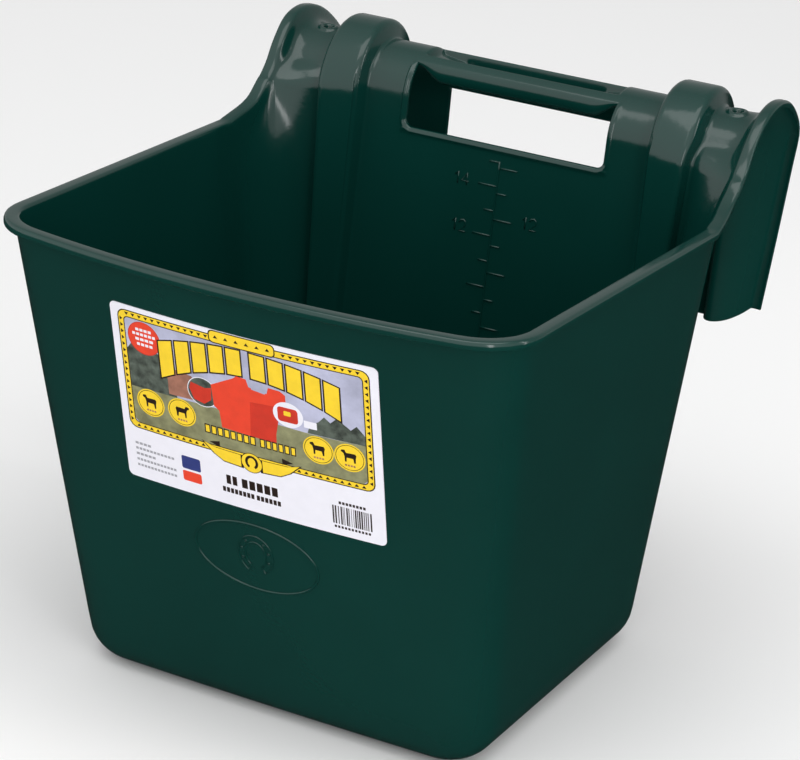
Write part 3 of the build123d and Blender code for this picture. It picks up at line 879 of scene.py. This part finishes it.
for text, u, v in (("14", -24.0, 226.5), ("12", -22.5, 200.5), ("12", 18.5, 209.5)):
    for n, digit in enumerate(text):
        for stroke in DIGITS[digit]:
            path = [(u + 5.0 * n + 6.5 * a, v + 6.5 * b) for a, b in stroke]
            lines.append(raised_line(on_back, path, 0.9, 0.5))
points, polys = gather(lines)
scale = make_object("capacity_scale", points, polys, [green])
for ob, name in ((emblem, "oval_emblem"), (scale, "scale_marks")):
    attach(ob, "root")
    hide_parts(name)


# ---- the printed label: one thin sheet, its print laid out in millimetres from its centre ----
def film(name, colour, vary=0.1, scale=160.0, rough=0.3):
    m, nt, bsdf = new_material(name)
    patchy = noise(nt, Scale=scale, Detail=5.0, Roughness=0.6)
    colour_from(nt, bsdf, patchy, ((0.32, [c * (1 - vary) for c in colour]),
                                   (0.68, [min(1.0, c * (1 + vary * 0.7)) for c in colour])))
    fibre = noise(nt, Scale=900.0, Detail=2.0)
    roughness_from(nt, bsdf, fibre, rough - 0.06, rough + 0.08)
    bump = node(nt, "ShaderNodeBump", Strength=0.1, Distance=0.0002)
    nt.links.new(fibre.outputs[0], bump.inputs["Height"])
    nt.links.new(bump.outputs[0], bsdf.inputs["Normal"])
    return m


INKS = {"white": film("label_white", (0.80, 0.79, 0.86), 0.02),
        "black": film("label_black", (0.022, 0.012, 0.009)),
        "yellow": film("label_yellow", (0.90, 0.62, 0.02), 0.06),
        "sky": film("label_sky", (0.46, 0.47, 0.62), 0.25, 45.0),
        "trees": film("label_trees", (0.085, 0.105, 0.085), 0.6, 220.0),
        "field": film("label_field", (0.25, 0.25, 0.13), 0.35, 120.0),
        "red": film("label_red", (0.78, 0.052, 0.018), 0.06),
        "dark_red": film("label_dark_red", (0.60, 0.032, 0.013), 0.1),
        "barn": film("label_barn", (0.34, 0.15, 0.10), 0.3),
        "blue": film("label_blue", (0.03, 0.045, 0.20)),
        "grey": film("label_grey", (0.33, 0.33, 0.36))}
INK_NAMES = list(INKS)
INK_STEP = 4.0                       # longest stretch between an outline's points, across the wall
FILM_TOP, FILM_UNDER = 0.38, -0.2    # the film's faces, from the wall's face
prints = []


def ink(colour, loop):
    """One area of ink. Long edges are split, so that they follow the wall's bow."""
    loop = np.array(loop, float)
    split = []
    for p, q in zip(loop, np.roll(loop, -1, axis=0)):
        parts = max(1, int(np.ceil(abs(q[0] - p[0]) / INK_STEP)))
        split += [p + (q - p) * k / parts for k in range(parts)]
    prints.append((INK_NAMES.index(colour), np.array(split)))


def panel(colour, u0, v0, u1, v1, r=0.0, steps=4):
    if r <= 0:
        ink(colour, [(u0, v0), (u1, v0), (u1, v1), (u0, v1)])
        return
    loop = []
    corners = ((u1 - r, v1 - r, 0), (u0 + r, v1 - r, 90), (u0 + r, v0 + r, 180), (u1 - r, v0 + r, 270))
    for cu, cv, start in corners:
        loop += list(arc(cu, cv, r, r, start, start + 90, steps + 1))
    ink(colour, loop)


def disc(colour, u, v, a, b=None):
    ink(colour, arc(u, v, a, b or a, 0, 350, 36))


def blocks(colour, u0, v0, u1, v1, count, gap=0.35):
    """A row of plain blocks standing in for a word."""
    step = (u1 - u0 + gap) / count
    for k in range(count):
        panel(colour, u0 + k * step, v0, u0 + (k + 1) * step - gap, v1)


def wedge(u, v, turn):
    """A small black triangle, turned by an angle in degrees."""
    a = np.radians(turn)
    c, s = np.cos(a), np.sin(a)
    shape = ((-1.15, -0.75), (1.15, -0.75), (0, 0.95))
    ink("black", [(u + c * x - s * y, v + s * x + c * y) for x, y in shape])


LABEL_U, LABEL_V = 69.8, 50.4
panel("white", -LABEL_U, -LABEL_V, LABEL_U, LABEL_V, 3.0, 6)
panel("black", -65.9, -20.4, 65.7, 47.7, 4.5)
panel("yellow", -65.3, -19.8, 65.1, 47.1, 4.0)
panel("black", -62.6, -17.0, 62.4, 44.0, 2.6)
panel("sky", -62.1, -16.5, 61.9, 43.5, 2.2)
for k in range(34):
    u = -60.5 + 3.65 * k
    if abs(u - 2.0) > 18.5:
        wedge(u, 45.6, 180)
        wedge(u, -18.4, 0)
for k in range(17):
    wedge(-64.0, -15.5 + 3.6 * k, -90)
    wedge(63.8, -15.5 + 3.6 * k, 90)
ink("field", [(-62.1, -14.5), (-60.2, -16.5), (60, -16.5), (61.9, -14.5), (61.9, 5.5), (35, 5), (10, 6),
              (-14, 5.5), (-62.1, 4.5)])
ink("trees", [(-62.1, 4.5), (-62.1, 26), (-59.5, 29.5), (-56, 27), (-52, 28.5), (-48, 26), (-45, 27.5),
              (-41.5, 24), (-39.5, 19), (-37, 15), (-36, 5.0)])
ink("trees", [(33, 5.2), (34.5, 10), (39, 13), (42, 16.5), (45, 14), (48.5, 17.5), (51, 15.5), (55, 12.5),
              (58, 15.5), (61.9, 11), (61.9, 5.5)])
ink("barn", [(-40.5, 6), (-40.5, 17), (-35, 21.5), (-26.5, 20.0), (-26.5, 6.5)])
panel("white", 31.5, 8, 38.0, 12.0)
disc("dark_red", -51.7, 33.9, 9.2)
disc("red", -51.7, 33.9, 8.8)
for v, w, n in ((37.6, 4.4, 4), (35.0, 6.4, 6), (32.2, 5.0, 4), (29.4, 4.4, 4)):
    blocks("white", -51.7 - w, v, -51.7 + w, v + 1.5, n, 0.6)


def arched_block(colour, u0, u1, inset):
    """One plain block of the arched row that stands where the heading was."""
    u = np.array((u0 + inset, u1 - inset))
    low, high = 27.5 - 0.0058 * (u - 5.0) ** 2 + inset, 43.0 - 0.0033 * (u - 3.0) ** 2 - inset
    ink(colour, [(u[0], low[0]), (u[1], low[1]), (u[1], high[1]), (u[0], high[0])])


for k in range(10):
    u = -44.5 + 9.3 * k + (3.0 if k > 4 else 0.0)
    arched_block("black", u, u + 8.9, 0.0)
    arched_block("yellow", u, u + 8.9, 0.8)
panel("black", -15.2, 43.0, 19.4, 50.2, 2.4)
panel("yellow", -14.6, 43.6, 18.8, 49.6, 2.0)
for k in range(6):
    wedge(-11.4 + 5.4 * k, 46.6, 0)
disc("white", -21.4, 12.7, 8.3)
disc("trees", -21.4, 12.7, 7.9)
ink("dark_red", [(-28.6, 13.5), (-27.5, 17), (-20, 15.5), (-16.5, 16.5), (-17, 9.5), (-21, 6.2),
                 (-26.5, 7.5)])
ink("red", [(-16.4, 18.6), (-3.9, 25.7), (-2.1, 27.4), (2.9, 27.0), (4.0, 22.9), (13.3, 21.7), (14.3, 25.4),
            (20.4, 25.1), (22.9, 23.4), (22.9, 18.6), (18.6, 15.7), (18.6, 8.9), (16.6, -0.4), (16.4, -5.7),
            (-12.4, -4.7), (-13.1, 4.6), (-15.7, 6.7)])
ink("dark_red", [(4.0, 14.6), (18.6, 15.7), (18.6, 8.9), (16.6, -0.4), (16.4, -5.7), (2.9, -5.2)])
ink("sky", [(5.3, 24.3), (12.4, 23.4), (12.4, 21.1), (5.3, 22.0)])
disc("white", 23.6, 12.7, 7.7, 7.0)
panel("dark_red", 18.2, 8.4, 28.6, 16.6, 1.6)
panel("yellow", 21.4, 12.0, 25.0, 14.6, 0.5)
for u0, u1, n in ((-22.2, 5.2, 8), (7.4, 26.2, 6)):
    blocks("black", u0, -10.4, u1, -5.2, n, 0.5)
    blocks("yellow", u0 + 0.55, -9.8, u1 - 0.55, -5.9, n, 1.5)
BEAST = ((-3.4, 1.0), (-2.8, 2.0), (1.7, 1.8), (2.5, 3.4), (4.1, 3.1), (4.3, 2.1), (3.1, 1.4), (2.6, -0.3),
         (2.5, -3.3), (1.7, -3.3), (1.5, -0.9), (-1.7, -0.9), (-2.1, -3.3), (-2.9, -3.3), (-3.0, -0.7))
for u, v, face in ((-52.0, -2.9, -1), (-34.4, -2.9, 1), (37.9, -3.3, -1), (53.6, -3.3, -1)):
    disc("yellow", u, v, 7.8)
    disc("black", u, v, 7.1)
    disc("yellow", u, v, 6.8)
    ink("black", [(u + face * x, v + 0.7 + y) for x, y in BEAST])
    blocks("barn", u - 2.6, v - 5.0, u + 2.6, v - 4.0, 4, 0.4)
for side in (-1, 1):
    tail = np.array([(26.9, -15.4), (19.6, -17.6), (4.5, -18.0), (4.5, -25.8), (15.2, -25.0), (20.8, -21.6)])
    mid = tail.mean(axis=0)
    ink("black", (tail * (side, 1)) + (1.9, 0))
    ink("yellow", ((mid + (tail - mid) * 0.88) * (side, 1)) + (1.9, 0))
    ink("black", np.array([(22.5, -15.2), (16.6, -13.6), (16.6, -17.2)]) * (side, 1) + (1.9, 0))
disc("black", 1.9, -21.3, 5.8)
disc("yellow", 1.9, -21.3, 5.4)
ink("black", np.concatenate([arc(1.9, -21.0, 3.5, 3.9, -60, 240, 24),
                             arc(1.9, -21.0, 2.1, 2.6, 238, -58, 20)]))
SMALL_PRINT = ((-30.3, -55.0, 4), (-33.4, -42.0, 11), (-36.7, -53.0, 5), (-40.0, -41.4, 12),
               (-43.4, -41.4, 12))
for v, u1, n in SMALL_PRINT:
    blocks("grey", -64.0, v, u1, v + 1.4, n, 0.5)
panel("blue", -37.6, -36.2, -27.1, -28.6, 1.0)
panel("red", -37.6, -43.4, -27.1, -37.4, 1.0)
blocks("black", -13.0, -37.8, -7.2, -32.5, 2, 0.9)
blocks("black", -4.6, -37.8, 14.6, -32.5, 5, 0.9)
blocks("black", -15.5, -42.9, 1.6, -40.0, 8, 0.5)
blocks("black", 2.9, -42.9, 15.8, -40.0, 6, 0.5)
rng = np.random.default_rng(7)
u = 42.9
while u < 63.0:
    w = rng.choice((0.3, 0.5, 0.8))
    panel("black", u, -43.8, u + w, -33.2)
    u += w + rng.choice((0.35, 0.5, 0.8))
blocks("black", 46.4, -31.9, 60.0, -30.3, 8, 0.5)
blocks("black", 43.6, -46.2, 62.0, -44.8, 11, 0.6)

# every ink's outline cuts the film into triangles, and the last ink over a triangle colours it
flat, edges = [], []
for _, loop in prints:
    first = len(flat)
    flat += [Vector(p) for p in loop]
    edges += [(first + k, first + (k + 1) % len(loop)) for k in range(len(loop))]
flat += [Vector((a, b)) for a in np.arange(-66, 67, 6.0) for b in np.arange(-48, 49, 6.0)]
flat, _, triangles, _, _, _ = delaunay_2d_cdt(flat, edges, [], 0, 1e-4)
flat = np.array([tuple(p) for p in flat])
triangles = np.array([tuple(t) for t in triangles])
middle = flat[triangles].mean(axis=1)
shade = np.zeros(len(triangles), int)
for index, loop in prints:
    hit = np.zeros(len(middle), bool)
    for a, b in zip(loop, np.roll(loop, -1, axis=0)):
        crosses = (a[1] > middle[:, 1]) != (b[1] > middle[:, 1])
        slope = (b[0] - a[0]) / (b[1] - a[1]) if b[1] != a[1] else 0.0
        hit ^= crosses & (middle[:, 0] < a[0] + (middle[:, 1] - a[1]) * slope)
    shade[hit] = index
low, high = box_mm("label")
place = on_front(((low[0] + high[0]) / 2, (low[2] + high[2]) / 2))
points = [place(a, b, lift) for lift in (FILM_TOP, FILM_UNDER) for a, b in flat]
count = len(flat)
polys = [tuple(t) for t in triangles] + [tuple(k + count for k in reversed(t)) for t in triangles]
used = {(t[k], t[(k + 1) % 3]) for t in triangles for k in range(3)}
rim = [(a, b) for a, b in used if (b, a) not in used]
polys += [(b, a, a + count, b + count) for a, b in rim]
shades = list(shade) * 2 + [0] * len(rim)
label = make_object("printed_label", np.array(points), polys, list(INKS.values()), shades, False)
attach(label, "root")
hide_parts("label")

# ---- camera at the photograph's angle ----
CAMERA_AT = Vector((565.05, -1210.03, 642.28))
RIGHT = Vector((0.8892, 0.4483, 0.0914))
FORWARD = Vector((-0.3940, 0.8518, -0.3453))
UP = Vector((-0.2327, 0.2711, 0.9340))
camera_data = bpy.data.cameras.new("camera")
camera_data.lens = 124.54
camera_data.sensor_width = 36.0
camera_data.shift_x = 0.002
camera_data.clip_end = 20.0
camera = bpy.data.objects.new("camera", camera_data)
rotation = Matrix((RIGHT, UP, -FORWARD)).transposed().to_4x4()
camera.matrix_world = Matrix.Translation(CAMERA_AT * MM) @ rotation
bpy.context.scene.collection.objects.link(camera)
bpy.context.scene.camera = camera


# ---- studio ----
def area(name, place, aim, size, power):
    data = bpy.data.lights.new(name, "AREA")
    data.shape = "RECTANGLE"
    data.size, data.size_y = size
    data.energy = power
    ob = bpy.data.objects.new(name, data)
    turn = (Vector(aim) - Vector(place)).to_track_quat("-Z", "Y")
    ob.matrix_world = Matrix.Translation(Vector(place)) @ turn.to_matrix().to_4x4()
    bpy.context.scene.collection.objects.link(ob)


area("softbox_top", (0.25, -0.4, 1.7), (0, 0.08, 0.2), (1.7, 1.0), 9)
area("strip_front_right", (1.25, -1.1, 0.55), (0.05, -0.05, 0.15), (0.2, 1.1), 3.5)
area("strip_right", (1.5, 0.25, 0.6), (0.1, 0.1, 0.2), (0.1, 1.2), 2.5)
floor_mat, nt, bsdf = new_material("studio_floor")
bsdf.inputs["Base Color"].default_value = (0.93, 0.93, 0.93, 1)
bsdf.inputs["Roughness"].default_value = 0.9
mesh = bpy.data.meshes.new("studio_floor")
FLOOR_HALF = 6.0
corners = [(x * FLOOR_HALF, y * FLOOR_HALF, 0) for x, y in ((-1, -1), (1, -1), (1, 1), (-1, 1))]
mesh.from_pydata(corners, [], [(0, 1, 2, 3)])
mesh.materials.append(floor_mat)
floor = bpy.data.objects.new("studio_floor", mesh)
bpy.context.scene.collection.objects.link(floor)
world = bpy.data.worlds.new("studio")
world.use_nodes = True
bpy.context.scene.world = world
wt = world.node_tree
wc = node(wt, "ShaderNodeTexCoord")
wsep = node(wt, "ShaderNodeSeparateXYZ")
rise = node(wt, "ShaderNodeMapRange")
front = node(wt, "ShaderNodeMapRange")
for n, values in ((rise, (-0.1, -0.04, 0.05, 1.0)), (front, (-0.5, 0.5, 1.25, 0.4))):
    for key, value in zip(("From Min", "From Max", "To Min", "To Max"), values):
        n.inputs[key].default_value = value
product = node(wt, "ShaderNodeMath", operation="MULTIPLY")
wt.links.new(wc.outputs["Generated"], wsep.inputs[0])
wt.links.new(wsep.outputs["Z"], rise.inputs["Value"])
wt.links.new(wsep.outputs["Y"], front.inputs["Value"])
wt.links.new(rise.outputs[0], product.inputs[0])
wt.links.new(front.outputs[0], product.inputs[1])
wt.links.new(product.outputs[0], wt.nodes["Background"].inputs[1])
wt.nodes["Background"].inputs[0].default_value = (1, 1, 1, 1)
floor.visible_glossy = False
bpy.context.scene.view_settings.view_transform = "Standard"
